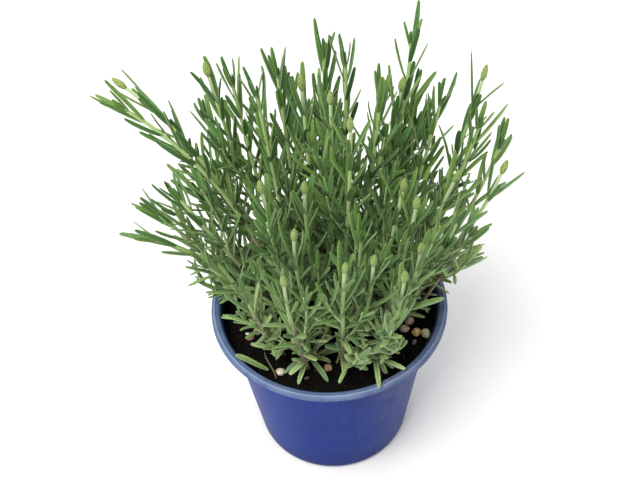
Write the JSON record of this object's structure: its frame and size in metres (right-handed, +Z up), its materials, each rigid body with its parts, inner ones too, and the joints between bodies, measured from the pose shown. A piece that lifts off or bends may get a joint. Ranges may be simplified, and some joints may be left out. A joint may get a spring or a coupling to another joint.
{
  "type": "potted lavender",
  "caption": "Young lavender plant with narrow grey-green leaves and small flower buds, growing in soil in a round blue plastic nursery pot.",
  "frame": {"origin": "centre of the pad in the middle of the pot's base, on the surface the pot stands on", "axes": "+Z up along the pot's axis, -Y towards the front of the plant"},
  "size_m": [0.2081, 0.1632, 0.2554],
  "materials": {
    "pot": "satin blue moulded plastic",
    "soil": "dark moist peat",
    "pebble": "matt tan grit",
    "foliage": "matt, finely downy leaves, stems and buds"
  },
  "bodies": {
    "root": {"pot": "pot", "soil": "soil", "pebble_01": "pebble", "pebble_02": "pebble", "pebble_03": "pebble", "pebble_04": "pebble", "pebble_05": "pebble", "pebble_06": "pebble", "pebble_07": "pebble", "pebble_08": "pebble", "leafy_stem_01": "foliage", "leafy_stem_02": "foliage", "leafy_stem_03": "foliage", "leafy_stem_04": "foliage", "leafy_stem_05": "foliage", "leafy_stem_06": "foliage", "leafy_stem_07": "foliage", "leafy_stem_08": "foliage", "leafy_stem_09": "foliage", "leafy_stem_10": "foliage", "leafy_stem_11": "foliage", "leafy_stem_12": "foliage", "leafy_stem_13": "foliage", "leafy_stem_14": "foliage", "leafy_stem_15": "foliage", "leafy_stem_16": "foliage", "leafy_stem_17": "foliage", "leafy_stem_18": "foliage", "leafy_stem_19": "foliage", "leafy_stem_20": "foliage", "leafy_stem_21": "foliage", "leafy_stem_22": "foliage", "leafy_stem_23": "foliage", "leafy_stem_24": "foliage", "leafy_stem_25": "foliage", "leafy_stem_26": "foliage", "leafy_stem_27": "foliage", "leafy_stem_28": "foliage", "leafy_stem_29": "foliage", "leafy_stem_30": "foliage", "leafy_stem_31": "foliage", "leafy_stem_32": "foliage", "leafy_stem_33": "foliage", "leafy_stem_34": "foliage", "leafy_stem_35": "foliage", "leafy_stem_36": "foliage", "leafy_stem_37": "foliage", "leafy_stem_38": "foliage", "leafy_stem_39": "foliage", "leafy_stem_40": "foliage", "leafy_stem_41": "foliage", "leafy_stem_42": "foliage", "leafy_stem_43": "foliage", "leafy_stem_44": "foliage", "leafy_stem_45": "foliage", "leafy_stem_46": "foliage"}
  },
  "joints": []
}
